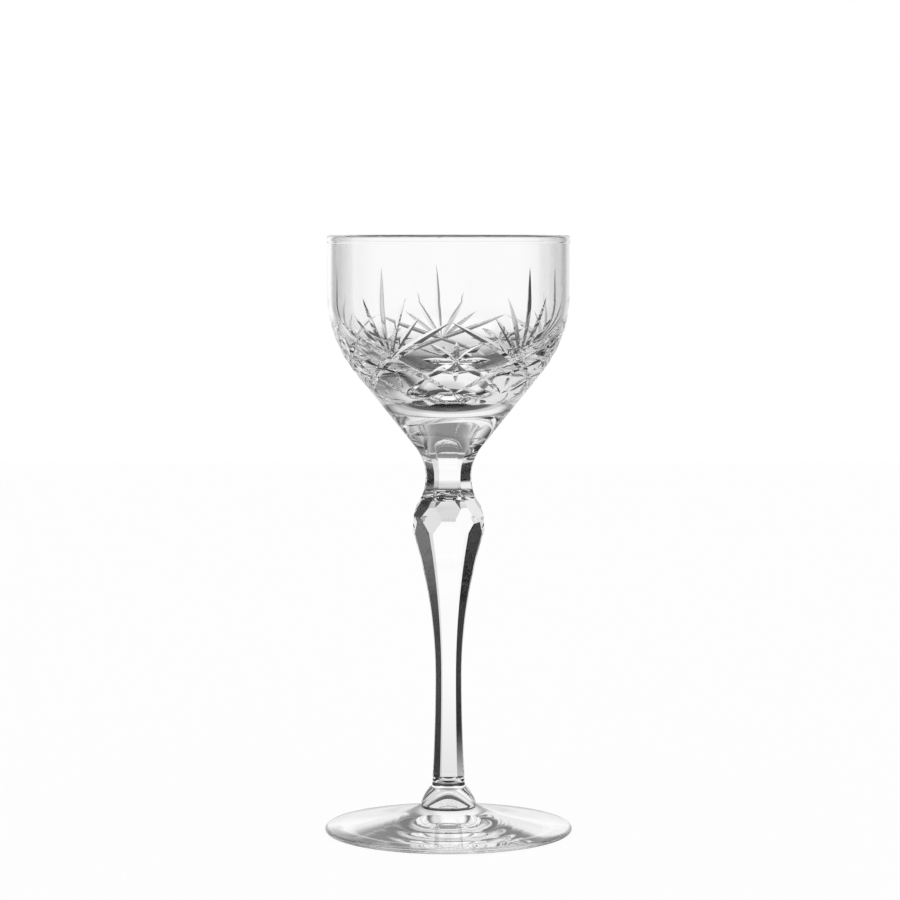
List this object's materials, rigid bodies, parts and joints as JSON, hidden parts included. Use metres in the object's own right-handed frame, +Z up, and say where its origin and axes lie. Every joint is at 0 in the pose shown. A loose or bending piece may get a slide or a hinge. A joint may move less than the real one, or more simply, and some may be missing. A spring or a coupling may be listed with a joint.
{
  "type": "stemmed wine glass",
  "caption": "Stemmed red wine glass of clear cut crystal, with a deep bowl cut with fans and stars, a faceted knopped stem and a round foot.",
  "frame": {"origin": "middle of the ring that the foot rests on, in the plane of the table", "axes": "+Z up along the stem to the rim; the viewer of the picture stands at -Y and +X is to the right"},
  "size_m": [0.0768, 0.0768, 0.185],
  "materials": {
    "crystal": "clear colourless crystal, fire polished outside and bright polished in the cuts"
  },
  "bodies": {
    "root": {"foot": "crystal", "stem": "crystal", "bowl": "crystal"}
  },
  "joints": []
}
